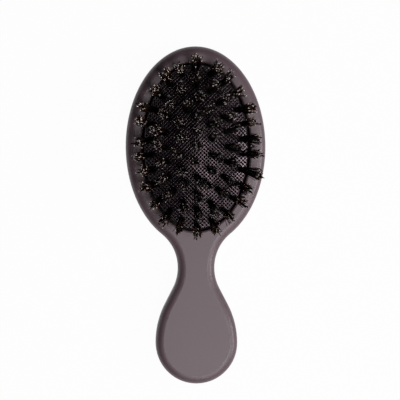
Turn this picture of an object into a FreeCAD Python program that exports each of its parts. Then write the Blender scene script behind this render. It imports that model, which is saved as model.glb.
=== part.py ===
"""Oval cushion hair brush: a two-shell body, an air cushion and tufts of bristle with a nylon pin each.

The origin is under the middle of the brush, on the surface that its back lies on.
+X runs across the head, +Y from the handle to the head and +Z out along the tufts.
All lengths are in millimetres and all angles in radians.
"""

import FreeCAD
import Part
import math
import os
from collections import namedtuple

V = FreeCAD.Vector

# Body: its plan outline, its thickness and its two shells
BODY_THICKNESS = 13.0
HEAD_WIDTH = 60.0
HEAD_LENGTH = 86.0
HANDLE_LENGTH = 59.0
NECK_WIDTH = 15.6
NECK_RADIUS = 19.0
NECK_FLANK = 8.0
HANDLE_WIDTH = 35.1
FRONT_EDGE_RADIUS = 3.4
BACK_EDGE_RADIUS = 5.0
WALL = 2.0
INNER_FRONT_RADIUS = 0.8
INNER_BACK_RADIUS = 3.0
PARTING_HEIGHT = 6.5

# Weld joint between the two shells
TONGUE_WIDTH = 0.7
TONGUE_HEIGHT = 1.2
WELD_CLEARANCE = 0.1
WELD_CHAMFER = 0.25

# Pegs that line the shells up, and the spine that stiffens the handle
PEG_RADIUS = 1.4
PEG_HEIGHT = 2.6
PEG_CLEARANCE = 0.1
PEG_BOSS_RADIUS = 2.6
PEG_SPREAD = 16.0
SPINE_WIDTH = 1.6
SPINE_HEIGHT = 3.2

# Opening in the head and the parts that clamp the cushion in it
RIM_WIDTH = 6.65
RIM_EDGE_RADIUS = 0.8
FLANGE_WIDTH = 2.4
FLANGE_THICKNESS = 1.6
CLAMP_RING_HEIGHT = 2.0
CLAMP_RING_WIDTH = 4.4
LOCATING_RIB_WIDTH = 1.0
LOCATING_RIB_HEIGHT = 3.0
RIB_CLEARANCE = 0.2
CHAMBER_WALL = 1.6

# Cushion: a rubber dome with a straight skirt and a clamped flange
CUSHION_GAP = 0.95
CUSHION_WALL = 1.2
CUSHION_SKIRT = 0.6
CUSHION_RISE = 5.8
CUSHION_SHOULDER_RADIUS = 0.9

# Tuft plug: a flanged sleeve that holds one tuft in the cushion
PLUG_NECK_RADIUS = 1.45
PLUG_BORE_RADIUS = 1.15
PLUG_FLANGE_RADIUS = 1.65
PLUG_FLANGE_THICKNESS = 0.9
PLUG_FLOOR = 0.5
PLUG_STANDOUT = 0.35
PLUG_GAP = 0.2
PLUG_SIDE_CLEARANCE = 0.1
HOLE_CLEARANCE = 0.15

# Bristle bundle, nylon pin and the ball on the pin's end, along one tuft's axis
BRISTLE_LENGTH = 14.0
BRISTLE_CROWN = 0.8
BRISTLE_TIP_RADIUS = 2.2
BRISTLE_SEAT_CLEARANCE = 0.05
FLARE_MIDDLE_SHARE = 0.3
PIN_LENGTH = 17.3
PIN_RADIUS = 0.3
PIN_CLEARANCE = 0.05
PIN_HEAD_RADIUS = 1.0
PIN_HEAD_THICKNESS = 0.5
BALL_RADIUS = 0.5
BALL_SOCKET_DEPTH = 0.45
BALL_CLEARANCE = 0.02

# Layout of the tufts: three rings at even steps round one straight row
TUFT_PITCH = 6.3
ROW_REACH_SHARE = 0.667
RING_NAMES = ("outer_ring", "middle_ring", "inner_ring")
ROW_NAME = "centre_row"

# Overrun of every cut past the face that it opens
OVERRUN = 5.0

# Steps used to measure along an oval, and to close in on a tangent point
OVAL_STEPS = 2000
HALVINGS = 60

# Places that follow from the sizes above
BODY_LENGTH = HEAD_LENGTH + HANDLE_LENGTH
HEAD_Y = BODY_LENGTH / 2 - HEAD_LENGTH / 2
GRIP_Y = HANDLE_WIDTH / 2 - BODY_LENGTH / 2
OPENING_HALF_WIDTH = HEAD_WIDTH / 2 - RIM_WIDTH
OPENING_HALF_LENGTH = HEAD_LENGTH / 2 - RIM_WIDTH
FLANGE_TOP = BODY_THICKNESS - WALL
FLANGE_BOTTOM = FLANGE_TOP - FLANGE_THICKNESS
CLAMP_RING_BOTTOM = FLANGE_BOTTOM - CLAMP_RING_HEIGHT
SHOULDER_HEIGHT = BODY_THICKNESS + CUSHION_SKIRT
CUSHION_HALF_WIDTH = OPENING_HALF_WIDTH - CUSHION_GAP
CUSHION_HALF_LENGTH = OPENING_HALF_LENGTH - CUSHION_GAP
CROWN_STRETCH = CUSHION_HALF_LENGTH / CUSHION_HALF_WIDTH
CROWN_RADIUS = (CUSHION_HALF_WIDTH**2 + CUSHION_RISE**2) / (2 * CUSHION_RISE)
CROWN_CENTRE = SHOULDER_HEIGHT + CUSHION_RISE - CROWN_RADIUS
PLUG_INSET = CUSHION_WALL + PLUG_FLANGE_RADIUS + PLUG_SIDE_CLEARANCE
RING_HALF_WIDTH = CUSHION_HALF_WIDTH - PLUG_INSET
RING_HALF_LENGTH = CUSHION_HALF_LENGTH - PLUG_INSET
RING_STEP = RING_HALF_WIDTH / len(RING_NAMES)
PLUG_FLANGE_TOP = -(CUSHION_WALL + PLUG_GAP)
PLUG_BOTTOM = PLUG_FLANGE_TOP - PLUG_FLANGE_THICKNESS
BORE_FLOOR = PLUG_BOTTOM + PLUG_FLOOR
PIN_BORE_RADIUS = PIN_RADIUS + PIN_CLEARANCE

Tuft = namedtuple("Tuft", "foot axis")


# Plan outline of the body

def neck_tangent(half_width, half_length, neck, radius):
    """Angle on the head's oval where the neck's hollow arc leaves it, and the height of that arc's centre."""
    steep, flat = -math.pi / 2, 0.0
    for _ in range(HALVINGS):
        angle = (steep + flat) / 2
        normal = V(half_length * math.cos(angle), half_width * math.sin(angle), 0).normalize()
        if half_width * math.cos(angle) + radius * normal.x > neck + radius:
            flat = angle
        else:
            steep = angle
    return angle, HEAD_Y + half_length * math.sin(angle) + radius * normal.y


def mirrored(point):
    """The same point on the other side of the brush's long axis."""
    return V(-point.x, point.y, point.z)


def body_outline(inset):
    """Closed wire of the plan outline, moved inwards by inset.

    From the head's oval, the hollow neck arc runs by a straight flank into the handle's shoulder arc,
    and a round end closes the handle.
    """
    half_width = HEAD_WIDTH / 2 - inset
    half_length = HEAD_LENGTH / 2 - inset
    neck = NECK_WIDTH / 2 - inset
    neck_radius = NECK_RADIUS + inset
    grip = HANDLE_WIDTH / 2 - inset
    angle, neck_y = neck_tangent(half_width, half_length, neck, neck_radius)
    neck_centre = V(neck + neck_radius, neck_y, 0)
    drop = neck_y - GRIP_Y
    shoulder_radius = (
        (neck_centre.x - grip) ** 2 + drop**2 - neck_radius**2 - NECK_FLANK**2
    ) / (2 * (grip - neck))
    shoulder_centre = V(grip - shoulder_radius, GRIP_Y, 0)

    between = shoulder_centre - neck_centre
    turn = math.asin(NECK_FLANK / between.Length)
    across = FreeCAD.Rotation(V(0, 0, 1), -math.degrees(turn)).multVec(between).normalize()
    head_end = V(half_width * math.cos(angle), HEAD_Y + half_length * math.sin(angle), 0)
    flank_top = neck_centre + across * neck_radius
    flank_bottom = shoulder_centre - across * shoulder_radius
    neck_middle = V(neck, neck_y, 0)
    shoulder_middle_way = (flank_bottom - shoulder_centre + V(shoulder_radius, 0, 0)).normalize()
    shoulder_middle = shoulder_centre + shoulder_middle_way * shoulder_radius
    grip_side = V(grip, GRIP_Y, 0)
    grip_end = V(0, GRIP_Y - grip, 0)

    oval_curve = Part.Ellipse(V(0, HEAD_Y + half_length, 0), V(-half_width, HEAD_Y, 0), V(0, HEAD_Y, 0))
    sweep = math.pi / 2 - angle
    edges = [Part.Arc(oval_curve, -sweep, sweep).toShape()]
    for side in (V, mirrored):
        edges.append(Part.Arc(side(head_end), side(neck_middle), side(flank_top)).toShape())
        edges.append(Part.LineSegment(side(flank_top), side(flank_bottom)).toShape())
        edges.append(Part.Arc(side(flank_bottom), side(shoulder_middle), side(grip_side)).toShape())
    edges.append(Part.Arc(grip_side, grip_end, mirrored(grip_side)).toShape())
    return Part.Wire(Part.__sortEdges__(edges))


def neck_height():
    """Place along Y where the neck is narrowest."""
    return neck_tangent(HEAD_WIDTH / 2, HEAD_LENGTH / 2, NECK_WIDTH / 2, NECK_RADIUS)[1]


# Blocks that the pieces are cut from

def prism(wire, low, high):
    """Upright block over a flat closed wire."""
    face = Part.Face(wire)
    face.translate(V(0, 0, low))
    return face.extrude(V(0, 0, high - low))


def level_edges(block, level):
    """Edges of a block that lie flat at one height."""
    return [e for e in block.Edges if math.isclose(e.BoundBox.ZMin, level, abs_tol=WELD_CLEARANCE)
            and math.isclose(e.BoundBox.ZMax, level, abs_tol=WELD_CLEARANCE)]


def rounded(block, level, radius):
    """The block with its edges at one level rounded off."""
    return block.makeFillet(radius, level_edges(block, level))


def body_half(blank, low, high):
    """One half of the body block, with its weld edge broken all round."""
    half = blank.common(slab(low, high))
    return half.makeChamfer(WELD_CHAMFER, level_edges(half, PARTING_HEIGHT))


def body_blank(inset, front_radius, back_radius):
    """The whole body as one block, moved inwards by inset on every side."""
    block = prism(body_outline(inset), inset, BODY_THICKNESS - inset)
    block = rounded(block, BODY_THICKNESS - inset, front_radius)
    return rounded(block, inset, back_radius)


def outline_ring(outer_inset, inner_inset, low, high):
    """Upright band between two insets of the body's outline."""
    return prism(body_outline(outer_inset), low, high).cut(prism(body_outline(inner_inset), low, high))


def slab(low, high):
    """Block wider and longer than the body, between two heights."""
    width = HEAD_WIDTH + HANDLE_WIDTH
    block = Part.makeBox(width, 2 * BODY_LENGTH, high - low)
    block.translate(V(-width / 2, -BODY_LENGTH, low))
    return block


def oval(grow, low, high):
    """Upright oval block round the head's centre, grown outwards from the opening."""
    top = V(0, OPENING_HALF_LENGTH + grow, 0)
    side = V(-OPENING_HALF_WIDTH - grow, 0, 0)
    wire = Part.Wire(Part.Ellipse(top, side, V(0, 0, 0)).toShape())
    wire.translate(V(0, HEAD_Y, 0))
    return prism(wire, low, high)


def oval_ring(outer_grow, inner_grow, low, high):
    """Upright oval band between two sizes of the opening's oval."""
    return oval(outer_grow, low, high).cut(oval(inner_grow, low - OVERRUN, high + OVERRUN))


def post(place, radius, low, high):
    """Upright round post."""
    return Part.makeCylinder(radius, high - low, V(place.x, place.y, low))


def peg_places():
    """Where the shells are pegged: one at the neck and two across the handle."""
    half = PEG_SPREAD / 2
    return [V(0, neck_height(), 0), V(-half, GRIP_Y, 0), V(half, GRIP_Y, 0)]


# Body shells and clamp ring

def front_shell(blank, hollow):
    """Front half of the body, with the cushion's opening, its locating rib and the peg sockets."""
    ceiling = BODY_THICKNESS - WALL
    shell = body_half(blank, PARTING_HEIGHT, BODY_THICKNESS + OVERRUN).cut(hollow)
    shell = shell.cut(oval(0, PARTING_HEIGHT, BODY_THICKNESS))
    shell = shell.makeFillet(RIM_EDGE_RADIUS, [e for e in level_edges(shell, BODY_THICKNESS) if e.isClosed()])
    rib_inside = FLANGE_WIDTH + RIB_CLEARANCE
    rib = oval_ring(rib_inside + LOCATING_RIB_WIDTH, rib_inside, ceiling - LOCATING_RIB_HEIGHT, ceiling)
    sockets = [post(p, PEG_BOSS_RADIUS, PARTING_HEIGHT, ceiling) for p in peg_places()]
    shell = shell.fuse([rib] + sockets)
    peg_room = PARTING_HEIGHT + PEG_HEIGHT + PEG_CLEARANCE
    bores = [post(p, PEG_RADIUS + PEG_CLEARANCE, PARTING_HEIGHT - OVERRUN, peg_room) for p in peg_places()]
    tongue_inset = (WALL - TONGUE_WIDTH) / 2
    groove = outline_ring(tongue_inset - WELD_CLEARANCE, tongue_inset + TONGUE_WIDTH + WELD_CLEARANCE,
                          PARTING_HEIGHT, PARTING_HEIGHT + TONGUE_HEIGHT + WELD_CLEARANCE)
    return shell.cut(bores + [groove]).removeSplitter()


def rear_shell(blank, hollow):
    """Back half of the body, with the wall of the air chamber, the pegs, the spine and the weld tongue."""
    shell = body_half(blank, -OVERRUN, PARTING_HEIGHT).cut(hollow)
    chamber = oval_ring(0, -CHAMBER_WALL, WALL, CLAMP_RING_BOTTOM)
    bosses = [post(p, PEG_BOSS_RADIUS, WALL, PARTING_HEIGHT) for p in peg_places()]
    pegs = [post(p, PEG_RADIUS, WALL, PARTING_HEIGHT + PEG_HEIGHT) for p in peg_places()]
    tongue_inset = (WALL - TONGUE_WIDTH) / 2
    tongue = outline_ring(tongue_inset, tongue_inset + TONGUE_WIDTH,
                          PARTING_HEIGHT - WALL, PARTING_HEIGHT + TONGUE_HEIGHT)
    spine_top = HEAD_Y - OPENING_HALF_LENGTH
    spine = Part.makeBox(SPINE_WIDTH, spine_top + BODY_LENGTH / 2, SPINE_HEIGHT)
    spine.translate(V(-SPINE_WIDTH / 2, -BODY_LENGTH / 2, WALL))
    spine = spine.common(hollow)
    return shell.fuse([chamber, spine, tongue] + bosses + pegs).removeSplitter()


def clamp_ring():
    """Oval ring that presses the cushion's flange up against the front shell."""
    return oval_ring(FLANGE_WIDTH, FLANGE_WIDTH - CLAMP_RING_WIDTH, CLAMP_RING_BOTTOM, FLANGE_BOTTOM)


# Cushion

def stretched(shape):
    """A shape turned round Z, stretched along Y to the cushion's proportions and moved to the head's centre."""
    stretch = FreeCAD.Matrix()
    stretch.A22 = CROWN_STRETCH
    shape = shape.transformGeometry(stretch)
    shape.translate(V(0, HEAD_Y, 0))
    return shape


def dome_block():
    """The cushion's outer form: a straight side, a rounded shoulder and a crown that is part of a ball."""
    shoulder_radius = CROWN_RADIUS - CUSHION_SHOULDER_RADIUS
    shoulder_x = CUSHION_HALF_WIDTH - CUSHION_SHOULDER_RADIUS
    shoulder = V(shoulder_x, 0, CROWN_CENTRE + math.sqrt(shoulder_radius**2 - shoulder_x**2))
    centre = V(0, 0, CROWN_CENTRE)
    way = (shoulder - centre).normalize()
    side = V(CUSHION_HALF_WIDTH, 0, shoulder.z)
    bend = shoulder + (way + V(1, 0, 0)).normalize() * CUSHION_SHOULDER_RADIUS
    edge = centre + way * CROWN_RADIUS
    slope = centre + (way + V(0, 0, 1)).normalize() * CROWN_RADIUS
    top = V(0, 0, CROWN_CENTRE + CROWN_RADIUS)
    edges = lines([top, V(0, 0, FLANGE_BOTTOM), V(CUSHION_HALF_WIDTH, 0, FLANGE_BOTTOM), side])
    edges.append(Part.Arc(side, bend, edge).toShape())
    edges.append(Part.Arc(edge, slope, top).toShape())
    return stretched(spun(edges))


def air_block():
    """The space under the cushion: its outer form less one wall all round."""
    ball = Part.makeSphere(CROWN_RADIUS, V(0, 0, CROWN_CENTRE - CUSHION_WALL), V(0, 1, 0))
    top = CROWN_CENTRE + CROWN_RADIUS
    return oval(-CUSHION_GAP - CUSHION_WALL, FLANGE_BOTTOM - OVERRUN, top).common(stretched(ball))


def cushion(tufts):
    """Rubber dome with a clamped flange and a hole for every tuft."""
    flange = oval(FLANGE_WIDTH, FLANGE_BOTTOM, FLANGE_TOP)
    drill = Part.makeCylinder(PLUG_NECK_RADIUS + HOLE_CLEARANCE, 2 * OVERRUN, V(0, 0, -OVERRUN))
    return dome_block().fuse(flange).cut([air_block()] + stood(drill, tufts)).removeSplitter()


# Tufts

def spun(edges):
    """Solid turned from a closed outline in the XZ plane."""
    face = Part.Face(Part.Wire(Part.__sortEdges__(edges)))
    return Part.Solid(face.revolve(V(0, 0, 0), V(0, 0, 1), math.degrees(2 * math.pi)))


def lines(points):
    """Straight edges from each point to the next."""
    return [Part.LineSegment(a, b).toShape() for a, b in zip(points, points[1:])]


def stood(shape, tufts):
    """A copy of a shape made along +Z, stood on every tuft's foot and leant along its axis."""
    copies = []
    for tuft in tufts:
        turn = FreeCAD.Rotation(V(0, 0, 1), tuft.axis)
        copy = shape.copy()
        copy.Placement = FreeCAD.Placement(tuft.foot, turn)
        copies.append(copy)
    return copies


def plug():
    """Flanged sleeve with a bore for the bristles and a small hole for the pin."""
    points = [
        V(PIN_BORE_RADIUS, 0, PLUG_BOTTOM),
        V(PLUG_FLANGE_RADIUS, 0, PLUG_BOTTOM),
        V(PLUG_FLANGE_RADIUS, 0, PLUG_FLANGE_TOP),
        V(PLUG_NECK_RADIUS, 0, PLUG_FLANGE_TOP),
        V(PLUG_NECK_RADIUS, 0, PLUG_STANDOUT),
        V(PLUG_BORE_RADIUS, 0, PLUG_STANDOUT),
        V(PLUG_BORE_RADIUS, 0, BORE_FLOOR),
        V(PIN_BORE_RADIUS, 0, BORE_FLOOR),
        V(PIN_BORE_RADIUS, 0, PLUG_BOTTOM),
    ]
    return spun(lines(points))


def bristle_bundle():
    """Bristles of one tuft as a bundle that flares from the plug to a rounded crown."""
    base_radius = PLUG_BORE_RADIUS - BRISTLE_SEAT_CLEARANCE
    middle_radius = base_radius + (BRISTLE_TIP_RADIUS - base_radius) * FLARE_MIDDLE_SHARE
    inner_foot = V(PIN_BORE_RADIUS, 0, BORE_FLOOR)
    outer_foot = V(base_radius, 0, BORE_FLOOR)
    mouth = V(base_radius, 0, PLUG_STANDOUT)
    middle = V(middle_radius, 0, (PLUG_STANDOUT + BRISTLE_LENGTH) / 2)
    edge = V(BRISTLE_TIP_RADIUS, 0, BRISTLE_LENGTH)
    top = V(PIN_BORE_RADIUS, 0, BRISTLE_LENGTH + BRISTLE_CROWN)
    half_way = (BRISTLE_TIP_RADIUS + PIN_BORE_RADIUS) / 2
    drop_share = ((half_way - PIN_BORE_RADIUS) / (BRISTLE_TIP_RADIUS - PIN_BORE_RADIUS)) ** 2
    crown_middle = V(half_way, 0, BRISTLE_LENGTH + BRISTLE_CROWN * (1 - drop_share))
    edges = lines([top, inner_foot, outer_foot, mouth])
    edges.append(Part.Arc(mouth, middle, edge).toShape())
    edges.append(Part.Arc(edge, crown_middle, top).toShape())
    return spun(edges)


def pin():
    """Nylon pin with a flat head that bears on the underside of the plug."""
    head_bottom = PLUG_BOTTOM - PIN_HEAD_THICKNESS
    points = [
        V(0, 0, head_bottom),
        V(PIN_HEAD_RADIUS, 0, head_bottom),
        V(PIN_HEAD_RADIUS, 0, PLUG_BOTTOM),
        V(PIN_RADIUS, 0, PLUG_BOTTOM),
        V(PIN_RADIUS, 0, PIN_LENGTH),
        V(0, 0, PIN_LENGTH),
        V(0, 0, head_bottom),
    ]
    return spun(lines(points))


def pin_ball():
    """Ball that caps the end of a pin."""
    ball = Part.makeSphere(BALL_RADIUS, V(0, 0, PIN_LENGTH + BALL_RADIUS - BALL_SOCKET_DEPTH))
    socket = Part.makeCylinder(PIN_RADIUS + BALL_CLEARANCE, OVERRUN, V(0, 0, PIN_LENGTH - OVERRUN))
    return ball.cut(socket)


# Layout of the tufts

def tuft_at(x, y):
    """Tuft that stands on the cushion's crown, square to it, at a place measured from the head's centre."""
    height = math.sqrt(CROWN_RADIUS**2 - x**2 - (y / CROWN_STRETCH) ** 2)
    axis = V(x, y / CROWN_STRETCH**2, height).normalize()
    return Tuft(V(x, HEAD_Y + y, CROWN_CENTRE + height), axis)


def ring_tufts(inset):
    """Tufts at even steps along an oval, with one on the long axis at each end."""
    half_width = RING_HALF_WIDTH - inset
    half_length = RING_HALF_LENGTH - inset
    turns = [2 * math.pi * i / OVAL_STEPS for i in range(OVAL_STEPS + 1)]
    path = [V(half_width * math.sin(t), half_length * math.cos(t), 0) for t in turns]
    lengths = [0.0]
    for a, b in zip(path, path[1:]):
        lengths.append(lengths[-1] + a.distanceToPoint(b))
    count = 2 * round(lengths[-1] / (2 * TUFT_PITCH))
    tufts = []
    for i in range(count):
        wanted = lengths[-1] * i / count
        nearest = min(range(OVAL_STEPS), key=lambda n: abs(lengths[n] - wanted))
        tufts.append(tuft_at(path[nearest].x, path[nearest].y))
    return tufts


def row_tufts():
    """Tufts in one straight row along the head, which ends where the inner ring still leaves it room."""
    inset = RING_STEP * (len(RING_NAMES) - 1)
    focus = math.sqrt((RING_HALF_LENGTH - inset) ** 2 - (RING_HALF_WIDTH - inset) ** 2)
    half_length = focus * ROW_REACH_SHARE
    gaps = max(1, round(2 * half_length / TUFT_PITCH))
    return [tuft_at(0, half_length * (2 * i / gaps - 1)) for i in range(gaps + 1)]


def tuft_groups():
    """The tufts by group, from the cushion's edge to its middle."""
    groups = {name: ring_tufts(RING_STEP * i) for i, name in enumerate(RING_NAMES)}
    groups[ROW_NAME] = row_tufts()
    return groups


def build():
    """All pieces by node name."""
    groups = tuft_groups()
    blank = body_blank(0, FRONT_EDGE_RADIUS, BACK_EDGE_RADIUS)
    hollow = body_blank(WALL, INNER_FRONT_RADIUS, INNER_BACK_RADIUS)
    pieces = {
        "front_shell": front_shell(blank, hollow),
        "rear_shell": rear_shell(blank, hollow),
        "clamp_ring": clamp_ring(),
        "cushion": cushion([t for tufts in groups.values() for t in tufts]),
    }
    kinds = {"tuft_plugs": plug(), "bristles": bristle_bundle(), "pins": pin(), "pin_balls": pin_ball()}
    for group, tufts in groups.items():
        for kind, shape in kinds.items():
            pieces[f"{kind}_{group}"] = Part.makeCompound(stood(shape, tufts))
    return pieces


def main():
    """Writes one STEP file per node and prints what each holds."""
    os.makedirs("parts", exist_ok=True)
    for name, shape in build().items():
        shape.exportStep(f"parts/{name}.step")
        print(name, len(shape.Solids), "solids", round(shape.Volume, 1), "mm3", "valid", shape.isValid())
    for group, tufts in tuft_groups().items():
        rise = sum(t.foot.z for t in tufts) / len(tufts) - SHOULDER_HEIGHT
        print(group, "stands", round(rise, 3), "mm over the cushion's shoulder, share", round(rise / CUSHION_RISE, 3))


main()
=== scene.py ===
"""Small oval cushion hair brush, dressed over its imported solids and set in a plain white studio.

The two soft-touch shells, the clamp ring and the tuft plugs keep their solids and get their finishes here.
The rubber cushion, the bristles, the pins and their beads are modelled afresh over the plain solids.
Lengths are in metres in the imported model's frame: +Y from handle to head, +Z out along the tufts.
"""

import logging
import math
import random
from dataclasses import dataclass
from enum import Enum
from typing import Callable, Iterable

import bpy
import numpy as np
from mathutils import Euler, Matrix, Vector


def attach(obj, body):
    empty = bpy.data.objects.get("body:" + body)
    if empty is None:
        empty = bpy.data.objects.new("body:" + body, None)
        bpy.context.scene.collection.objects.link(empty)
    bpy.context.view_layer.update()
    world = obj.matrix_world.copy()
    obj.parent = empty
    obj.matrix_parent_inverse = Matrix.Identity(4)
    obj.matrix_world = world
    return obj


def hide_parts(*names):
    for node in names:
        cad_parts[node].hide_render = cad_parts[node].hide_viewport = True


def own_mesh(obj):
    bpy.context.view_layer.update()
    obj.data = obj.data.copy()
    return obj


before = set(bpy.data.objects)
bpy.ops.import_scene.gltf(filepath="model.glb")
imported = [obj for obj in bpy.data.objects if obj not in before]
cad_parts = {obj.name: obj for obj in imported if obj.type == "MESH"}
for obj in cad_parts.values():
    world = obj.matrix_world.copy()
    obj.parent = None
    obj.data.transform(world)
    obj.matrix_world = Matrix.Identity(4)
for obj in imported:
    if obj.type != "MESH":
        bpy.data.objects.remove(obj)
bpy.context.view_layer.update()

LOG = logging.getLogger("hair_brush")
MM = 0.001
SEED = 20
WHITE = (1.0, 1.0, 1.0, 1.0)
# Most of a noise's values lie between these two
NOISE_SPAN = (0.3, 0.7)
# Turn from one stem to the next that spreads any number of them evenly over a round base
GOLDEN_ANGLE = math.pi * (3 - math.sqrt(5))
# Names of what the meshes hold for their finishes: the height in the lattice, and the map along a stem
RELIEF = "relief"
STEM_MAP = "bristle"
# Takes a pattern's points to their places on the brush
Placing = Callable[[np.ndarray], np.ndarray]


class TuftGroup(Enum):
    """The four groups of tufts, from the cushion's edge to its middle; each is a body of the model."""

    OUTER = "outer_ring"
    MIDDLE = "middle_ring"
    INNER = "inner_ring"
    ROW = "centre_row"

    @property
    def steps_in(self) -> int:
        """Ring steps between this group and the outer ring."""
        return list(TuftGroup).index(self)


@dataclass(frozen=True)
class Tuft:
    """One tuft: the point where it leaves the cushion and the way it points."""

    foot: Vector
    axis: Vector


# Tools of the modelling bench


def deselect() -> None:
    """Leaves edit mode and clears the selection."""
    if bpy.context.object and bpy.context.object.mode != "OBJECT":
        bpy.ops.object.mode_set(mode="OBJECT")
    bpy.ops.object.select_all(action="DESELECT")


def new_piece(name: str) -> bpy.types.Object:
    """Names the object that an add operator has just made.

    Args:
        name: Name for the object and its mesh.

    Returns:
        The new object.
    """
    piece = bpy.context.object
    piece.name = name
    piece.data.name = name
    return piece


def select_vertices(piece: bpy.types.Object, wanted: np.ndarray) -> None:
    """Selects vertices by a mask and opens edit mode in vertex mode.

    Args:
        piece: The active mesh object.
        wanted: One truth value per vertex.
    """
    bpy.ops.object.mode_set(mode="EDIT")
    bpy.ops.mesh.select_mode(type="VERT")
    bpy.ops.mesh.select_all(action="DESELECT")
    bpy.ops.object.mode_set(mode="OBJECT")
    piece.data.vertices.foreach_set("select", wanted.astype(bool))
    bpy.ops.object.mode_set(mode="EDIT")


def selected(piece: bpy.types.Object) -> np.ndarray:
    """Finds which vertices are selected.

    Args:
        piece: Mesh object, out of edit mode.

    Returns:
        One truth value per vertex.
    """
    chosen = np.empty(len(piece.data.vertices), dtype=bool)
    piece.data.vertices.foreach_get("select", chosen)
    return chosen


def select_border() -> None:
    """Selects the open border of the active mesh and stays in edit mode."""
    bpy.ops.object.mode_set(mode="EDIT")
    bpy.ops.mesh.select_mode(type="VERT")
    bpy.ops.mesh.select_all(action="DESELECT")
    bpy.ops.mesh.select_non_manifold()


def points_of(piece: bpy.types.Object) -> np.ndarray:
    """Reads the vertex places of a mesh object.

    Args:
        piece: Mesh object, out of edit mode.

    Returns:
        One row of x, y and z per vertex.
    """
    flat = np.empty(len(piece.data.vertices) * 3)
    piece.data.vertices.foreach_get("co", flat)
    return flat.reshape(-1, 3)


def set_points(piece: bpy.types.Object, points: np.ndarray) -> None:
    """Writes vertex places back to a mesh object."""
    piece.data.vertices.foreach_set("co", points.ravel())
    piece.data.update()


def smooth(piece: bpy.types.Object, angle_deg: float) -> None:
    """Shades a piece smooth, with its sharp edges kept crisp.

    Args:
        piece: Mesh object to shade.
        angle_deg: Edges sharper than this stay crisp.
    """
    deselect()
    piece.select_set(True)
    bpy.context.view_layer.objects.active = piece
    bpy.ops.object.shade_smooth_by_angle(angle=math.radians(angle_deg))
    deselect()


def dress(piece: bpy.types.Object, material: bpy.types.Material) -> None:
    """Gives a piece one material in its first slot."""
    piece.data.materials.clear()
    piece.data.materials.append(material)


def plant(name: str, pattern: bpy.types.Object, places: list[Placing],
          shades: list[float]) -> bpy.types.Object:
    """Copies a pattern to many places and joins the copies in one piece.

    Args:
        name: Name for the piece.
        pattern: The modelled stem or bead, which is used up.
        places: For each copy, where the pattern's points go.
        shades: For each copy, its shade from nought to one.

    Returns:
        The joined piece, with a map that holds each copy's shade in U and runs along it in V.
    """
    unit = points_of(pattern)
    faces = [tuple(face.vertices) for face in pattern.data.polygons]
    points = np.concatenate([place(unit) for place in places])
    joined = [tuple(i + n * len(unit) for i in face) for n in range(len(places)) for face in faces]
    mesh = bpy.data.meshes.new(name)
    mesh.from_pydata(points.tolist(), [], joined)
    uv = mesh.uv_layers.new(name=STEM_MAP)
    corners = np.empty(len(mesh.loops), dtype=int)
    mesh.loops.foreach_get("vertex_index", corners)
    along = np.tile(unit[:, 2], len(places))
    shade = np.repeat(shades, len(unit))
    uv.data.foreach_set("uv", np.column_stack((shade[corners], along[corners])).ravel())
    piece = bpy.data.objects.new(name, mesh)
    bpy.context.collection.objects.link(piece)
    bpy.data.objects.remove(pattern)
    return piece


# Finishes


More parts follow.
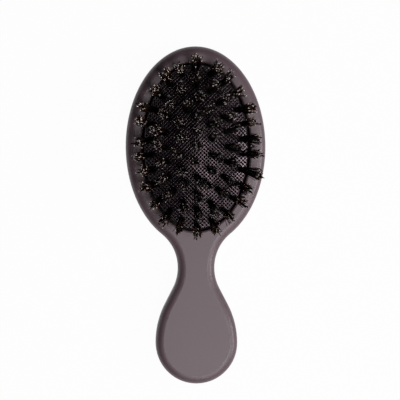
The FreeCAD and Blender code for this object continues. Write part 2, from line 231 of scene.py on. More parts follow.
class NodeSheet:
    """A material's node tree, with short calls to add and join nodes."""

    def __init__(self, name: str) -> None:
        """Starts a material with a plain Principled surface.

        Args:
            name: Name for the material.
        """
        self.material = bpy.data.materials.new(name)
        self.material.use_nodes = True
        self.tree = self.material.node_tree
        self.surface = self.tree.nodes["Principled BSDF"]

    def add(self, kind: str, **settings: object) -> bpy.types.Node:
        """Adds a node and sets its properties.

        Args:
            kind: Node type name.
            settings: Property values by name.

        Returns:
            The new node.
        """
        node = self.tree.nodes.new(kind)
        for key, value in settings.items():
            setattr(node, key, value)
        return node

    def join(self, source: bpy.types.NodeSocket, target: bpy.types.NodeSocket) -> None:
        """Links one socket to another."""
        self.tree.links.new(source, target)

    def feed(self, name: str, source: bpy.types.NodeSocket) -> None:
        """Links a socket to one of the surface's own."""
        self.join(source, self.surface.inputs[name])

    def fix(self, name: str, value: float | tuple) -> None:
        """Sets one of the surface's own sockets to a value that is the same all over."""
        self.surface.inputs[name].default_value = value

    def noise(self, scale: float, detail: float, where: bpy.types.NodeSocket) -> bpy.types.NodeSocket:
        """Noise value at a place.

        Args:
            scale: Noise cells per metre.
            detail: Octaves of finer noise.
            where: Socket with the place.

        Returns:
            The noise value's socket.
        """
        node = self.add("ShaderNodeTexNoise")
        node.inputs["Scale"].default_value = scale
        node.inputs["Detail"].default_value = detail
        self.join(where, node.inputs["Vector"])
        return node.outputs["Fac"]

    def spread(self, value: bpy.types.NodeSocket, low: float, high: float,
               span: tuple[float, float] = NOISE_SPAN) -> bpy.types.NodeSocket:
        """Maps a value's range to another range.

        Args:
            value: Socket with the value.
            low: Result at the start of the value's range.
            high: Result at its end.
            span: Start and end of the value's range.

        Returns:
            The result's socket.
        """
        node = self.add("ShaderNodeMapRange")
        for key, number in zip(("From Min", "From Max", "To Min", "To Max"), (*span, low, high)):
            node.inputs[key].default_value = number
        self.join(value, node.inputs["Value"])
        return node.outputs["Result"]

    def ramp(self, value: bpy.types.NodeSocket, places: Iterable[float],
             colours: Iterable[tuple]) -> bpy.types.NodeSocket:
        """Colour by value.

        Args:
            value: Socket with the value.
            places: Value at each stop, rising.
            colours: Colour at each stop.

        Returns:
            The colour's socket.
        """
        node = self.add("ShaderNodeValToRGB")
        elements = node.color_ramp.elements
        stops = list(zip(places, colours))
        while len(elements) < len(stops):
            elements.new(1.0)
        for element, (place, colour) in zip(elements, stops):
            element.position = place
            element.color = (*colour, 1.0)
        self.join(value, node.inputs["Fac"])
        return node.outputs["Color"]

    def mix(self, share: bpy.types.NodeSocket, first: bpy.types.NodeSocket,
            second: bpy.types.NodeSocket) -> bpy.types.NodeSocket:
        """Blend of two colours.

        Args:
            share: Socket with the second colour's share.
            first: Socket with the first colour.
            second: Socket with the second colour.

        Returns:
            The blend's socket.
        """
        node = self.add("ShaderNodeMix", data_type="RGBA")
        self.join(share, node.inputs["Factor"])
        self.join(first, node.inputs["A"])
        self.join(second, node.inputs["B"])
        return node.outputs["Result"]

    def bump(self, height: bpy.types.NodeSocket, depth: float, strength: float) -> None:
        """Roughens the surface by a height.

        Args:
            height: Socket with the height, from nought to one.
            depth: Depth of the relief.
            strength: Share of the relief that shows.
        """
        node = self.add("ShaderNodeBump")
        node.inputs["Strength"].default_value = strength
        node.inputs["Distance"].default_value = depth
        self.join(height, node.inputs["Height"])
        self.feed("Normal", node.outputs["Normal"])

    def object_place(self) -> bpy.types.NodeSocket:
        """Place on the piece, in its own coordinates."""
        return self.add("ShaderNodeTexCoord").outputs["Object"]


@dataclass(frozen=True)
class Grain:
    """Fine roughness of a moulded surface."""

    scale: float
    depth: float
    strength: float
    detail: float = 2.0

    def roughen(self, sheet: NodeSheet, place: bpy.types.NodeSocket) -> None:
        """Roughens a material's surface with this grain."""
        sheet.bump(sheet.noise(self.scale, self.detail, place), self.depth, self.strength)


@dataclass(frozen=True)
class SoftTouchFinish:
    """Matt soft-touch lacquer on moulded plastic: a dark taupe with a slight cloudiness and a fine grain."""

    light: tuple = (0.117, 0.0745, 0.0895)
    dark: tuple = (0.101, 0.0635, 0.0775)
    roughness: tuple = (0.41, 0.46)
    index: float = 1.58
    cloud_scale: float = 70.0
    cloud_detail: float = 4.0
    grain: Grain = Grain(scale=3800.0, depth=0.02 * MM, strength=0.25)

    def material(self) -> bpy.types.Material:
        """Builds the material.

        Returns:
            The lacquer.
        """
        sheet = NodeSheet("soft_touch_taupe")
        place = sheet.object_place()
        cloud = sheet.noise(self.cloud_scale, self.cloud_detail, place)
        sheet.feed("Base Color", sheet.ramp(cloud, NOISE_SPAN, (self.dark, self.light)))
        sheet.feed("Roughness", sheet.spread(cloud, *self.roughness))
        sheet.fix("IOR", self.index)
        self.grain.roughen(sheet, place)
        return sheet.material


@dataclass(frozen=True)
class RubberFinish:
    """Black moulded rubber with painted light in its lattice: a purplish grey painted sheen on the ridges,
    duller in random patches, and painted shade that darkens down the flanks into the pits and to the pad's
    edge.

    The spans are heights in the lattice, where nought is a pit and one is a ridge, apart from the patches'
    span, which is of a noise.
    """

    # Painted shade: from the flank colour down to the pit colour, deeper in the lattice and toward the pad's
    # edge
    pit: tuple = (0.0005, 0.0004, 0.0005)
    flank: tuple = (0.0012, 0.0005, 0.0017)
    pit_shade_span: tuple = (0.15, 0.6)
    # Painted sheen: the ridges' purplish grey stands in for light caught on them; random patches of it are
    # duller
    ridge: tuple = (0.0062, 0.0022, 0.0100)
    ridge_sheen_span: tuple = (0.88, 0.99)
    dull_sheen_patch: tuple = (0.0024, 0.0016, 0.0024)
    patch_scale: float = 160.0
    patch_detail: float = 4.0
    patch_span: tuple = (0.35, 0.7)
    gloss: float = 0.75
    index: float = 1.6
    gloss_tint: tuple = (1.0, 0.77, 0.85, 1.0)
    roughness: tuple = (0.36, 0.26)
    roughness_span: tuple = (0.2, 0.95)
    grain: Grain = Grain(scale=5200.0, depth=0.015 * MM, strength=0.2)

    def material(self) -> bpy.types.Material:
        """Builds the material, whose painted shade and painted sheen follow the pad's height in its lattice.

        Returns:
            The rubber.
        """
        sheet = NodeSheet("cushion_rubber")
        place = sheet.object_place()
        patch = sheet.noise(self.patch_scale, self.patch_detail, place)
        relief = sheet.add("ShaderNodeAttribute", attribute_name=RELIEF).outputs["Fac"]
        # Painted sheen on the ridges, duller in random patches
        ridge_sheen_colour = sheet.ramp(patch, self.patch_span, (self.ridge, self.dull_sheen_patch))
        # Painted shade, darker the deeper a point lies in the lattice
        pit_shading = sheet.ramp(relief, self.pit_shade_span, (self.pit, self.flank))
        # Share of the painted sheen, highest on the ridges' tops
        ridge_sheen_share = sheet.spread(relief, 0.0, 1.0, self.ridge_sheen_span)
        sheet.feed("Base Color", sheet.mix(ridge_sheen_share, pit_shading, ridge_sheen_colour))
        sheet.feed("Roughness", sheet.spread(relief, *self.roughness, self.roughness_span))
        sheet.fix("IOR", self.index)
        sheet.fix("Specular IOR Level", self.gloss)
        sheet.fix("Specular Tint", self.gloss_tint)
        self.grain.roughen(sheet, place)
        return sheet.material


@dataclass(frozen=True)
class BristleFinish:
    """Natural bristle: near black along its length, with a split end that is brown, tan or almost white.

    The ends are pairs of a bristle's shade and its end's colour. The other places are shares of its length.
    """

    name: str
    ends: tuple
    root: tuple = (0.0008, 0.0006, 0.0006)
    shaft: tuple = (0.0018, 0.0012, 0.0011)
    brown: tuple = (0.030, 0.012, 0.0092)
    shaft_ends: float = 0.68
    tip_starts: float = 0.93
    tip_full: float = 0.965
    roughness: float = 0.45
    gloss: float = 0.1

    def material(self) -> bpy.types.Material:
        """Builds the material, which follows the map along each bristle.

        Returns:
            The bristle.
        """
        sheet = NodeSheet(self.name)
        stem_map = sheet.add("ShaderNodeSeparateXYZ")
        sheet.join(sheet.add("ShaderNodeUVMap", uv_map=STEM_MAP).outputs["UV"], stem_map.inputs[0])
        shade, along = stem_map.outputs["X"], stem_map.outputs["Y"]
        stops = (0.0, self.shaft_ends, self.tip_starts)
        length = sheet.ramp(along, stops, (self.root, self.shaft, self.brown))
        end = sheet.ramp(shade, *zip(*self.ends))
        reach = sheet.spread(along, 0.0, 1.0, (self.tip_starts, self.tip_full))
        sheet.feed("Base Color", sheet.mix(reach, length, end))
        sheet.fix("Roughness", self.roughness)
        sheet.fix("Specular IOR Level", self.gloss)
        return sheet.material


RIM_BRISTLE = BristleFinish("rim_bristle", (
    (0.56, (0.010, 0.005, 0.0045)),
    (0.67, (0.150, 0.068, 0.048)),
    (0.74, (0.52, 0.34, 0.27)),
    (0.81, (0.72, 0.63, 0.60)),
    (0.88, (1.00, 0.80, 0.67)),
    (0.95, (1.00, 0.95, 0.90)),
))
INNER_BRISTLE = BristleFinish("inner_bristle", (
    (0.56, (0.006, 0.004, 0.004)),
    (0.67, (0.095, 0.062, 0.053)),
    (0.76, (0.38, 0.31, 0.29)),
    (0.86, (0.66, 0.57, 0.54)),
    (0.96, (1.00, 0.93, 0.91)),
))


@dataclass(frozen=True)
class MouldedFinish:
    """Plain moulded plastic, mottled a little, with a fine grain."""

    name: str
    colour: tuple
    mottle: tuple
    roughness: tuple
    gloss: float
    grain_depth: float
    grain_scale: float = 6000.0
    grain_strength: float = 0.3
    patch_scale: float = 420.0
    patch_detail: float = 3.0

    def material(self) -> bpy.types.Material:
        """Builds the material.

        Returns:
            The plastic.
        """
        sheet = NodeSheet(self.name)
        place = sheet.object_place()
        patch = sheet.noise(self.patch_scale, self.patch_detail, place)
        sheet.feed("Base Color", sheet.ramp(patch, NOISE_SPAN, (self.colour, self.mottle)))
        sheet.feed("Roughness", sheet.spread(patch, *self.roughness))
        sheet.fix("Specular IOR Level", self.gloss)
        Grain(self.grain_scale, self.grain_depth, self.grain_strength).roughen(sheet, place)
        return sheet.material


NYLON = MouldedFinish(
    name="pin_nylon",
    colour=(0.003, 0.0024, 0.0024),
    mottle=(0.006, 0.005, 0.005),
    roughness=(0.30, 0.40),
    gloss=0.3,
    grain_depth=0.01 * MM,
)
# Grey-black resin, lightened partly as a painted highlight so that the beads show as pale dots
BEAD = MouldedFinish(
    name="bead_resin_painted_highlight",
    colour=(0.070, 0.060, 0.064),
    mottle=(0.100, 0.086, 0.091),
    roughness=(0.20, 0.28),
    gloss=0.7,
    grain_depth=0.005 * MM,
)
PLUG = MouldedFinish(
    name="plug_plastic",
    colour=(0.002, 0.0016, 0.0018),
    mottle=(0.005, 0.004, 0.0045),
    roughness=(0.45, 0.55),
    gloss=0.2,
    grain_depth=0.01 * MM,
)


# Sub-assemblies


@dataclass
class HandleBody:
    """The two welded shells and the ring that clamps the cushion between them."""

    shells: tuple = ("front_shell", "rear_shell")
    hidden: tuple = ("clamp_ring",)

    def dress(self, finish: SoftTouchFinish, inner: MouldedFinish) -> None:
        """Gives the solids their finishes.

        Args:
            finish: Finish of the shells.
            inner: Finish of the pieces inside.
        """
        for names, material in ((self.shells, finish.material()), (self.hidden, inner.material())):
            for name in names:
                dress(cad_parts[name], material)
                LOG.info("%s keeps its solid, with %s", name, material.name)


@dataclass
class AirCushion:
    """Domed rubber pad with a moulded diamond lattice.

    The ridges' shares are of the lattice's pitch, and the trim's share is of a step of the grid.
    """

    head_y: float = 29.5 * MM
    half_width: float = 22.4 * MM
    half_length: float = 35.4 * MM
    shoulder_height: float = 13.6 * MM
    rise: float = 5.8 * MM
    shoulder_radius: float = 0.9 * MM
    foot_height: float = 11.2 * MM
    lattice_pitch: float = 1.18 * MM
    lattice_depth: float = 0.75 * MM
    lattice_margin: float = 0.9 * MM
    ridge_flat_share: float = 0.05
    ridge_half_share: float = 0.11
    ridge_rounding: float = 0.02 * MM
    steps_per_pitch: int = 7
    trim_share: float = 0.4
    crease_deg: float = 62.0
    press_travel: float = 2.8 * MM
    row_rise: float = 5.472 * MM

    @property
    def crown_radius(self) -> float:
        """Radius of the ball that the crown is a part of, across the head."""
        return (self.half_width**2 + self.rise**2) / (2 * self.rise)

    @property
    def crown_centre(self) -> float:
        """Height of that ball's centre."""
        return self.shoulder_height + self.rise - self.crown_radius

    @property
    def stretch(self) -> float:
        """How much longer than wide the cushion is."""
        return self.half_length / self.half_width

    @property
    def pit_offset(self) -> float:
        """Distance from a crossing of ridges to the pit beside it."""
        return self.lattice_pitch / math.sqrt(2)

    def reach(self, points: np.ndarray) -> np.ndarray:
        """Distance of each point from the cushion's middle, from nought to one at its edge."""
        return np.hypot(points[:, 0] / self.half_width, (points[:, 1] - self.head_y) / self.half_length)

    def surface_height(self, reach: np.ndarray) -> np.ndarray:
        """Height of the smooth dome.

        Args:
            reach: Distance from the middle, as a share of the way to the edge.

        Returns:
            Height of the crown, or of the rounded shoulder near the edge.
        """
        across = np.clip(reach, 0.0, 1.0) * self.half_width
        shoulder_x = self.half_width - self.shoulder_radius
        inner_radius = self.crown_radius - self.shoulder_radius
        shoulder_z = self.crown_centre + math.sqrt(inner_radius**2 - shoulder_x**2)
        edge_x = shoulder_x * self.crown_radius / inner_radius
        crown = self.crown_centre + np.sqrt(self.crown_radius**2 - across**2)
        over = np.clip(across - shoulder_x, 0.0, self.shoulder_radius)
        shoulder = shoulder_z + np.sqrt(self.shoulder_radius**2 - over**2)
        return np.where(across < edge_x, crown, shoulder)

    def lattice_ways(self, points: np.ndarray) -> list[np.ndarray]:
        """Places along the lattice's two slanting ways, counted in pitches from the cushion's middle."""
        x, y = points[:, 0], points[:, 1] - self.head_y
        return [(x + y) / (2 * self.pit_offset), (x - y) / (2 * self.pit_offset)]

    def gather_to_ridges(self, points: np.ndarray) -> None:
        """Draws the even grid's lines together beside the ridges, where the relief is finest.

        A ridge lies at each whole pitch and a pit half way between two.

        Args:
            points: Places on the flat grid, changed in place.
        """
        moved = []
        step = 1 / self.steps_per_pitch
        grid_lines = (0.0, 0.5 * step, 1.5 * step, 0.5)
        relief_lines = (0.0, self.ridge_flat_share, self.ridge_half_share, 0.5)
        for way in self.lattice_ways(points):
            nearest = np.round(way)
            off = way - nearest
            share = np.interp(np.abs(off), grid_lines, relief_lines)
            moved.append(nearest + np.sign(off) * share)
        points[:, 0] = (moved[0] + moved[1]) * self.pit_offset
        points[:, 1] = (moved[0] - moved[1]) * self.pit_offset + self.head_y

    def inside_margin(self, points: np.ndarray) -> np.ndarray:
        """One inside the plain margin along the cushion's edge, falling to nought at the edge."""
        return np.clip((1 - self.reach(points)) * self.half_width / self.lattice_margin, 0.0, 1.0)

    def lattice(self, points: np.ndarray) -> np.ndarray:
        """Depth of the pits between the lattice's ridges.

        Args:
            points: Places on the cushion.

        Returns:
            Nought on a ridge's top, down to the lattice's depth at the point of a pit.
        """
        depths = []
        edge_share = self.ridge_half_share - self.ridge_flat_share
        flank_share = 0.5 - self.ridge_half_share
        for way in self.lattice_ways(points):
            off = np.abs(way - np.round(way))
            edge = np.clip((off - self.ridge_flat_share) / edge_share, 0.0, 1.0)
            flank = np.clip((off - self.ridge_half_share) / flank_share, 0.0, 1.0)
            depths.append(self.ridge_rounding * edge + (self.lattice_depth - self.ridge_rounding) * flank)
        return np.minimum(*depths) * self.inside_margin(points)

    def build(self) -> bpy.types.Object:
        """Models the pad: a grid laid along the lattice, trimmed to the oval, domed and closed underneath.

        Returns:
            The finished pad.
        """
        step = self.lattice_pitch / self.steps_per_pitch
        cells = 2 * math.ceil(self.half_length / step)
        deselect()
        bpy.ops.mesh.primitive_grid_add(x_subdivisions=cells, y_subdivisions=cells, size=cells * step,
                                        location=(self.pit_offset, self.head_y, 0),
                                        rotation=(0, 0, math.pi / 4))
        pad = new_piece("cushion_pad")
        bpy.ops.object.transform_apply(location=True, rotation=True, scale=True)
        points = points_of(pad)
        self.gather_to_ridges(points)
        set_points(pad, points)
        trim = 1 - self.trim_share * step / self.half_width
        select_vertices(pad, self.reach(points) > trim)
        bpy.ops.mesh.delete(type="VERT")
        bpy.ops.object.mode_set(mode="OBJECT")
        self.shape_edge(pad)
        self.close_underneath(pad)
        self.mark_relief(pad)
        smooth(pad, self.crease_deg)
        return pad

    def shape_edge(self, pad: bpy.types.Object) -> None:
        """Draws the trimmed border out to the oval and lifts the sheet to the dome and its lattice.

        Args:
            pad: The trimmed flat sheet.
        """
        select_border()
        bpy.ops.object.mode_set(mode="OBJECT")
        border = selected(pad)
        points = points_of(pad)
        reach = self.reach(points)
        middle = np.array([0.0, self.head_y, 0.0])
        points[border] = middle + (points[border] - middle) / reach[border, None]
        points[:, 2] = self.surface_height(self.reach(points)) - self.lattice(points)
        set_points(pad, points)

    def close_underneath(self, pad: bpy.types.Object) -> None:
        """Extrudes the border down as the skirt, closes the pad with a floor and cuts it in triangles.

        Args:
            pad: The domed sheet.
        """
        select_border()
        bpy.ops.mesh.extrude_region_move(TRANSFORM_OT_translate={"value": (0, 0, -self.rise)})
        bpy.ops.object.mode_set(mode="OBJECT")
        points = points_of(pad)
        points[selected(pad), 2] = self.foot_height
        set_points(pad, points)
        bpy.ops.object.mode_set(mode="EDIT")
        bpy.ops.mesh.edge_face_add()
        bpy.ops.mesh.select_all(action="SELECT")
        bpy.ops.mesh.normals_make_consistent(inside=False)
        bpy.ops.mesh.quads_convert_to_tris(quad_method="LONGEST_DIAGONAL")
        bpy.ops.object.mode_set(mode="OBJECT")

    def mark_relief(self, pad: bpy.types.Object) -> None:
        """Stores how high each point stands in the lattice, which the rubber's painted shade and painted
        sheen follow: one on a ridge, nought in a pit or at the edge.

        Args:
            pad: The closed pad.
        """
        points = points_of(pad)
        high = (1 - self.lattice(points) / self.lattice_depth) * self.inside_margin(points)
        relief = pad.data.attributes.new(RELIEF, "FLOAT", "POINT")
        relief.data.foreach_set("value", high)

    def dress(self, pad: bpy.types.Object, finish: RubberFinish) -> None:
        """Finishes the pad, hides the cushion's solid that it stands for and sets it on the handle body.

        Args:
            pad: The modelled pad.
            finish: Its rubber.
        """
        dress(pad, finish.material())
        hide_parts("cushion")
        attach(pad, "handle_body")
        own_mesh(pad)
        LOG.info("%s stands for the cushion, %d faces", pad.name, len(pad.data.polygons))


@dataclass
class TuftLayout:
    """Where the tufts stand: rings at even steps round one straight row, square to the dome."""

    cushion: AirCushion
    wall: float = 1.2 * MM
    plug_flange_radius: float = 1.65 * MM
    plug_side_clearance: float = 0.1 * MM
    pitch: float = 6.3 * MM
    row_reach_share: float = 0.667
    oval_steps: int = 2000

    @property
    def inset(self) -> float:
        """Distance of the outer ring from the cushion's edge."""
        return self.wall + self.plug_flange_radius + self.plug_side_clearance

    def half_sizes(self, group: TuftGroup) -> tuple[float, float]:
        """Sizes of a ring's oval.

        Args:
            group: Which ring.

        Returns:
            Half its width and half its length.
        """
        half_width = self.cushion.half_width - self.inset
        half_length = self.cushion.half_length - self.inset
        step = half_width / TuftGroup.ROW.steps_in * group.steps_in
        return half_width - step, half_length - step

    def tuft_at(self, x: float, y: float) -> Tuft:
        """Stands a tuft on the dome.

        Args:
            x: Place across the head.
            y: Place along it, from the head's centre.

        Returns:
            The tuft, square to the dome there.
        """
        dome = self.cushion
        height = math.sqrt(dome.crown_radius**2 - x**2 - (y / dome.stretch) ** 2)
        axis = Vector((x, y / dome.stretch**2, height)).normalized()
        return Tuft(Vector((x, dome.head_y + y, dome.crown_centre + height)), axis)

    def tufts(self, group: TuftGroup) -> list[Tuft]:
        """The tufts of one group.

        Args:
            group: Which ring, or the row.

        Returns:
            The tufts in order round the ring, or along the row.
        """
        if group is TuftGroup.ROW:
            half_width, half_length = self.half_sizes(TuftGroup.INNER)
            reach = self.row_reach_share * math.sqrt(half_length**2 - half_width**2)
            gaps = max(1, round(2 * reach / self.pitch))
            return [self.tuft_at(0.0, reach * (2 * i / gaps - 1)) for i in range(gaps + 1)]
        half_width, half_length = self.half_sizes(group)
        turn = np.linspace(0.0, 2 * math.pi, self.oval_steps + 1)
        path = np.column_stack((half_width * np.sin(turn), half_length * np.cos(turn)))
        along = np.concatenate(([0.0], np.cumsum(np.linalg.norm(np.diff(path, axis=0), axis=1))))
        count = 2 * round(along[-1] / (2 * self.pitch))
        places = [np.argmin(np.abs(along - along[-1] * i / count)) for i in range(count)]
        return [self.tuft_at(*path[n]) for n in places]


@dataclass(frozen=True)
class Stem:
    """Form of a bristle or pin: a thin prism in several lengths, its end wider or narrower than its root.

    The bend is a power: the higher it is, the nearer to its end the stem bends.
    """

    name: str
    radius: float
    sides: int
    cuts: int
    end_share: float
    bend: float

    def model(self) -> bpy.types.Object:
        """Models the stem straight up from the origin, with a length of one.

        Returns:
            The stem, a pattern for the copies.
        """
        deselect()
        bpy.ops.mesh.primitive_cylinder_add(vertices=self.sides, radius=self.radius, depth=1.0,
                                            location=(0, 0, 0.5))
        stem = new_piece(self.name)
        bpy.ops.object.transform_apply(location=True, rotation=True, scale=True)
        bpy.ops.object.mode_set(mode="EDIT")
        bpy.ops.mesh.select_mode(type="EDGE")
        bpy.ops.mesh.select_all(action="DESELECT")
        bpy.ops.object.mode_set(mode="OBJECT")
        heights = points_of(stem)[:, 2]
        for edge in stem.data.edges:
            low, high = (heights[i] for i in edge.vertices)
            edge.select = not np.isclose(low, high)
        bpy.ops.object.mode_set(mode="EDIT")
        bpy.ops.mesh.subdivide(number_cuts=self.cuts)
        bpy.ops.object.mode_set(mode="OBJECT")
        select_vertices(stem, np.isclose(points_of(stem)[:, 2], 1.0))
        bpy.ops.transform.resize(value=(self.end_share, self.end_share, 1.0))
        bpy.ops.object.mode_set(mode="OBJECT")
        return stem


@dataclass(frozen=True)
class Bead:
    """Form of a pin's end: a ball drawn out a little, and drawn down where the pin enters.

    The places and the drop are shares of its radius.
    """

    name: str = "bead_pattern"
    radius: float = 0.48 * MM
    segments: int = 10
    rings: int = 7
    crown_starts: float = 0.2
    crown_stretch: tuple = (0.97, 0.97, 1.06)
    neck_starts: float = -0.6
    neck_drop: float = 0.15

    def model(self) -> bpy.types.Object:
        """Models the bead round the origin.

        Returns:
            The bead, a pattern for the copies.
        """
        deselect()
        bpy.ops.mesh.primitive_uv_sphere_add(segments=self.segments, ring_count=self.rings,
                                             radius=self.radius)
        bead = new_piece(self.name)
        select_vertices(bead, points_of(bead)[:, 2] > self.radius * self.crown_starts)
        bpy.ops.transform.resize(value=self.crown_stretch, center_override=(0, 0, 0))
        bpy.ops.object.mode_set(mode="OBJECT")
        select_vertices(bead, points_of(bead)[:, 2] < self.radius * self.neck_starts)
        bpy.ops.transform.translate(value=(0, 0, -self.radius * self.neck_drop))
        bpy.ops.object.mode_set(mode="OBJECT")
        return bead


@dataclass(frozen=True)
class Lock:
    """A lock of bristles that gather towards their ends.

    Its root and end are places across the tuft, and the extra is added to its bristles' length.
    """

    root: tuple[float, float]
    end: tuple[float, float]
    extra: float


@dataclass
class TuftSet:
    """Bristles, pins, beads and plugs of one group of tufts.

    A pair of lengths for an extra is its middle and its scatter.
    """

    group: TuftGroup
    tufts: list[Tuft]
    rng: random.Random
    bristle: Stem = Stem("bristle_pattern", radius=0.105 * MM, sides=4, cuts=3, end_share=1.5, bend=1.1)
    pin: Stem = Stem("pin_pattern", radius=0.32 * MM, sides=8, cuts=5, end_share=0.85, bend=1.8)
    bead: Bead = Bead()
    crease_deg: float = 70.0
    bristles_per_tuft: int = 100
    bristle_length: float = 14.0 * MM
    bristle_crown: float = 0.8 * MM
    bristle_extra: tuple = (0.1 * MM, 0.3 * MM)
    root_depth: float = 0.6 * MM
    base_radius: float = 0.97 * MM
    tip_radius: float = 2.25 * MM
    turn_scatter: float = 0.3
    pin_length: float = 17.3 * MM
    pin_root_depth: float = 0.6 * MM
    pin_sway: float = 0.8 * MM
    pin_sway_most: float = 1.3 * MM
    pin_shade: float = 0.5
    bead_seat: float = 0.43 * MM
    tuft_lean: float = 0.75 * MM
    locks_per_tuft: int = 12
    lock_spread: float = 0.20 * MM
    lock_extra: tuple = (-0.2 * MM, 0.45 * MM)
    flare_scatter: float = 0.18
    stray_share: float = 0.14
    stray_flare: float = 1.3
    loose_share: float = 0.28
    loose_spread: float = 0.60 * MM
    short_fall: float = 3.2 * MM
    short_power: float = 1.7
    ring_dull_share: float = 0.04
    # Painted shade on the bristle ends: the palest ends are darkened where the tuft leans to the front right
    lean_shade_share: float = 0.18
    lean_shade_reach: float = 0.45
    lean_shade_front_weight: float = 2.0

    def end_paleness(self, tuft: Tuft) -> float:
        """Shade of a tuft's palest ends.

        Args:
            tuft: The tuft.

        Returns:
            One at most: less in the inner rings, and less where the tuft leans to the front right, as
                painted shade on its ends.
        """
        lean = tuft.axis.x - self.lean_shade_front_weight * tuft.axis.y
        lean_shade = self.lean_shade_share * max(0.0, min(1.0, lean / self.lean_shade_reach))
        return 1.0 - self.ring_dull_share * self.group.steps_in - lean_shade

    @staticmethod
    def side_ways(axis: Vector) -> tuple[np.ndarray, np.ndarray]:
        """Two ways square to an axis and to each other."""
        first = axis.cross(Vector((0, 1, 0))).normalized()
        return np.array(first), np.array(axis.cross(first))

    def line_of(self, tuft: Tuft, root: tuple[float, float], tip: tuple[float, float],
                low: float, high: float, power: float) -> Placing:
        """A line that a stem is bent along.

        Args:
            tuft: The tuft that it stands in.
            root: Root's place across the tuft.
            tip: Tip's place across the tuft.
            low: Root's place along the tuft's axis.
            high: Tip's place along the axis.
            power: How late the line bends away.

        Returns:
            A function from the straight stem's points to their places.
        """
        first, second = self.side_ways(tuft.axis)
        foot, axis = np.array(tuft.foot), np.array(tuft.axis)

        def bend(unit: np.ndarray) -> np.ndarray:
            """Bends the straight stem along the line.

            Args:
                unit: The straight stem's points.

            Returns:
                Their places.
            """
            part = unit[:, 2:3]
            drift = part**power
            across_1 = root[0] + (tip[0] - root[0]) * drift + unit[:, 0:1]
            across_2 = root[1] + (tip[1] - root[1]) * drift + unit[:, 1:2]
            return foot + axis * (low + (high - low) * part) + first * across_1 + second * across_2

        return bend

    def bead_place(self, tuft: Tuft, sway: tuple[float, float]) -> Placing:
        """Where a bead sits.

        Args:
            tuft: The tuft whose pin it ends.
            sway: How far the pin's end is swayed across the tuft.

        Returns:
            A function from the bead's points to their places.
        """
        first, second = self.side_ways(tuft.axis)
        axis = np.array(tuft.axis)
        end = np.array(tuft.foot) + first * sway[0] + second * sway[1]
        end = end + axis * (self.pin_length + self.bead.radius - self.bead_seat)

        def put(unit: np.ndarray) -> np.ndarray:
            """Places the bead's points on the pin's end."""
            return end + unit @ np.array([first, second, axis])

        return put

    def across(self, number: int, count: int, start: float) -> tuple[float, float]:
        """Root of one of many stems that are spread evenly over the tuft's base.

        Args:
            number: Which stem.
            count: How many there are.
            start: Angle of the first.

        Returns:
            Its place across the tuft.
        """
        reach = self.base_radius * math.sqrt((number + 0.5) / count)
        turn = start + number * GOLDEN_ANGLE + self.rng.uniform(-self.turn_scatter, self.turn_scatter)
        return reach * math.cos(turn), reach * math.sin(turn)

    def locks(self) -> list[Lock]:
        """Parts one tuft, which leans a little as a whole, in locks.

        Returns:
            The tuft's locks.
        """
        lean = (self.rng.gauss(0, self.tuft_lean), self.rng.gauss(0, self.tuft_lean))
        start = self.rng.uniform(0.0, 2 * math.pi)
        locks = []
        for number in range(self.locks_per_tuft):
            root = self.across(number, self.locks_per_tuft, start)
            flare = self.tip_radius / self.base_radius * self.rng.gauss(1.0, self.flare_scatter)
            if self.rng.random() < self.stray_share:
                flare *= self.stray_flare
            end = (root[0] * flare + lean[0], root[1] * flare + lean[1])
            crown = self.bristle_crown * (1 - math.hypot(*root) ** 2 / self.base_radius**2)
            locks.append(Lock(root, end, crown + self.rng.gauss(*self.lock_extra)))
        return locks

    def build_bristles(self) -> bpy.types.Object:
        """Plants the bristles: each tuft flares from its plug and parts in locks with ragged ends.

        Returns:
            The bristles.
        """
        lines, shades = [], []
        for tuft in self.tufts:
            locks = self.locks()
            for number in range(self.bristles_per_tuft):
                root = self.across(number, self.bristles_per_tuft, 0.0)
                lock = min(locks, key=lambda one: math.dist(one.root, root))
                spread = self.loose_spread if self.rng.random() < self.loose_share else self.lock_spread
                tip = tuple(end + self.rng.gauss(0, spread) for end in lock.end)
                short = self.short_fall * self.rng.random() ** self.short_power
                high = self.bristle_length + lock.extra + self.rng.gauss(*self.bristle_extra) - short
                lines.append(self.line_of(tuft, root, tip, -self.root_depth, high, self.bristle.bend))
                # A random shade, capped by end_paleness, which holds the painted shade of tufts leaning to
                # the front right
                shades.append(self.rng.random() * self.end_paleness(tuft))
        return plant(f"bristle_strands_{self.group.value}", self.bristle.model(), lines, shades)

    def build_pins(self) -> tuple[bpy.types.Object, bpy.types.Object]:
        """Plants one pin in each tuft, swayed a little to a side, and sets a bead on each end.

        Returns:
            The pins and the beads.
        """
        lines, bead_places = [], []
        low, high, most = -self.pin_root_depth, self.pin_length, self.pin_sway_most
        for tuft in self.tufts:
            draws = [self.rng.gauss(0, self.pin_sway) for _ in range(2)]
            sway = tuple(max(-most, min(most, draw)) for draw in draws)
            lines.append(self.line_of(tuft, (0.0, 0.0), sway, low, high, self.pin.bend))
            bead_places.append(self.bead_place(tuft, sway))
        shades = [self.pin_shade] * len(lines)
        pins = plant(f"pin_stems_{self.group.value}", self.pin.model(), lines, shades)
        beads = plant(f"pin_beads_{self.group.value}", self.bead.model(), bead_places, shades)
        return pins, beads

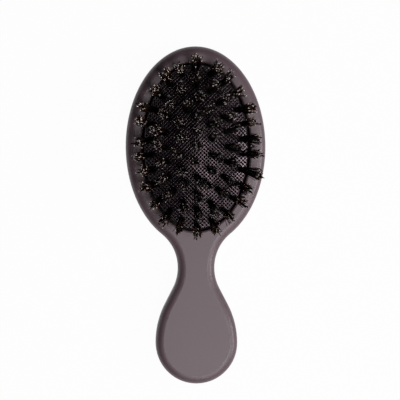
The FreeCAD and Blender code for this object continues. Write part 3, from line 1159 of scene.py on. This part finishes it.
    def build(self, finishes: dict[str, bpy.types.Material]) -> None:
        """Models and dresses the group.

        Args:
            finishes: Materials by the pieces that they dress.
        """
        name = self.group.value
        pins, beads = self.build_pins()
        bristles = self.build_bristles()
        hair = finishes["rim bristles" if self.group is TuftGroup.OUTER else "inner bristles"]
        made = (
            ("bristles", bristles, "bristle", hair),
            ("pins", pins, "nylon", finishes["pins"]),
            ("pin_balls", beads, "ball", finishes["pin_balls"]),
        )
        for kind, piece, slot, material in made:
            dress(piece, material)
            smooth(piece, self.crease_deg)
            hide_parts(f"{kind}_{name}")
            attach(piece, name)
            LOG.info("%s stands for %s_%s, %d faces", piece.name, kind, name, len(piece.data.polygons))
        dress(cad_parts[f"tuft_plugs_{name}"], finishes["tuft_plugs"])
        LOG.info("tuft_plugs_%s keep their solids", name)


# Studio


@dataclass(frozen=True)
class Softbox:
    """A softbox seen from the brush: its way from straight above, its half sizes and its brightness."""

    name: str
    right_deg: float
    front_deg: float
    half_width_deg: float
    half_length_deg: float
    level: float


SOFTBOXES = (
    Softbox("key_softbox", 32.0, 25.0, 24.0, 25.0, 0.90),
    Softbox("strip_softbox", 14.0, 11.5, 5.8, 12.5, 10.4),
    Softbox("side_softbox", 57.5, 5.0, 8.0, 9.0, 15.0),
    Softbox("front_softbox", 4.0, 45.0, 12.0, 5.0, 5.0),
    Softbox("fill_softbox", 5.0, 15.0, 5.0, 5.0, 8.2),
)


@dataclass
class Studio:
    """White sheet, softboxes and the camera over the brush."""

    floor_size: float = 6.0
    floor_colour: tuple = (0.60, 0.60, 0.60, 1.0)
    shadow_share: float = 0.03
    world_level: float = 0.04
    light_distance: float = 1.6
    camera_height: float = 1.0
    camera_foot: tuple = (-0.040, 0.045)
    camera_roll_deg: float = 0.25
    camera_sight: float = 10.0
    target: tuple = (0.00175, 0.00662, 0.010)
    view_width: float = 0.17180
    sensor: float = 36.0

    def build_floor(self) -> None:
        """Lays the sheet: white to the eye and in reflections, with the object's shadow showing faintly."""
        deselect()
        bpy.ops.mesh.primitive_plane_add(size=self.floor_size, location=(0, 0, 0))
        floor = new_piece("white_sheet")
        sheet = NodeSheet("studio_white")
        sheet.tree.nodes.remove(sheet.surface)
        paper = sheet.add("ShaderNodeBsdfDiffuse")
        paper.inputs["Color"].default_value = self.floor_colour
        white = sheet.add("ShaderNodeEmission")
        white.inputs["Color"].default_value = WHITE
        shaded = sheet.add("ShaderNodeMixShader")
        shaded.inputs["Fac"].default_value = self.shadow_share
        sheet.join(white.outputs[0], shaded.inputs[1])
        sheet.join(paper.outputs[0], shaded.inputs[2])
        rays = sheet.add("ShaderNodeLightPath").outputs
        seen = rays["Is Camera Ray"]
        for kind in ("Is Glossy Ray", "Is Transmission Ray"):
            either = sheet.add("ShaderNodeMath", operation="MAXIMUM")
            sheet.join(seen, either.inputs[0])
            sheet.join(rays[kind], either.inputs[1])
            seen = either.outputs[0]
        choice = sheet.add("ShaderNodeMixShader")
        sheet.join(seen, choice.inputs["Fac"])
        sheet.join(paper.outputs[0], choice.inputs[1])
        sheet.join(shaded.outputs[0], choice.inputs[2])
        sheet.join(choice.outputs[0], sheet.tree.nodes["Material Output"].inputs["Surface"])
        dress(floor, sheet.material)

    def build_world(self) -> None:
        """Sets an even, faintly lit room round the brush."""
        world = bpy.data.worlds.new("studio_room")
        world.use_nodes = True
        room = world.node_tree.nodes["Background"]
        room.inputs["Color"].default_value = WHITE
        room.inputs["Strength"].default_value = self.world_level
        bpy.context.scene.world = world

    def add_softbox(self, box: Softbox) -> None:
        """Hangs one softbox over the brush, turned to it.

        Args:
            box: Which way it hangs, how large it is and how bright.
        """
        lamp = bpy.data.lights.new(box.name, "AREA")
        lamp.shape = "RECTANGLE"
        lamp.size = 2 * self.light_distance * math.tan(math.radians(box.half_width_deg))
        lamp.size_y = 2 * self.light_distance * math.tan(math.radians(box.half_length_deg))
        lamp.energy = box.level * math.pi * lamp.size * lamp.size_y
        softbox = bpy.data.objects.new(box.name, lamp)
        bpy.context.collection.objects.link(softbox)
        turn = Euler((math.radians(box.front_deg), math.radians(box.right_deg), 0.0))
        softbox.rotation_euler = turn
        softbox.location = Vector(self.target) + turn.to_matrix() @ Vector((0, 0, self.light_distance))

    def build_camera(self) -> None:
        """Puts the camera over the brush, a little to the left of its middle and towards the head."""
        place = Vector((*self.camera_foot, self.camera_height))
        target = Vector(self.target)
        away = (place - target).normalized()
        roll = math.radians(self.camera_roll_deg)
        right = Vector((math.sin(roll), math.cos(roll), 0)).cross(away).normalized()
        up = away.cross(right)
        turn = Matrix((right, up, away)).transposed().to_4x4()
        camera = bpy.data.cameras.new("overhead_camera")
        camera.sensor_width = self.sensor
        camera.lens = self.sensor * (place - target).length / self.view_width
        camera.clip_end = self.camera_sight
        eye = bpy.data.objects.new("overhead_camera", camera)
        eye.matrix_world = Matrix.Translation(place) @ turn
        bpy.context.collection.objects.link(eye)
        bpy.context.scene.camera = eye

    def build(self) -> None:
        """Sets up the whole studio."""
        bpy.context.scene.view_settings.view_transform = "Standard"
        self.build_floor()
        self.build_world()
        for box in SOFTBOXES:
            self.add_softbox(box)
        self.build_camera()


def main() -> None:
    """Builds and dresses the brush, then sets up the studio."""
    logging.basicConfig(level=logging.INFO, format="%(name)s: %(message)s")
    HandleBody().dress(SoftTouchFinish(), PLUG)
    cushion = AirCushion()
    cushion.dress(cushion.build(), RubberFinish())
    finishes = {
        "rim bristles": RIM_BRISTLE.material(),
        "inner bristles": INNER_BRISTLE.material(),
        "pins": NYLON.material(),
        "pin_balls": BEAD.material(),
        "tuft_plugs": PLUG.material(),
    }
    layout = TuftLayout(cushion)
    rng = random.Random(SEED)
    for group in TuftGroup:
        TuftSet(group, layout.tufts(group), rng).build(finishes)
    Studio().build()


if __name__ == "__main__":
    main()
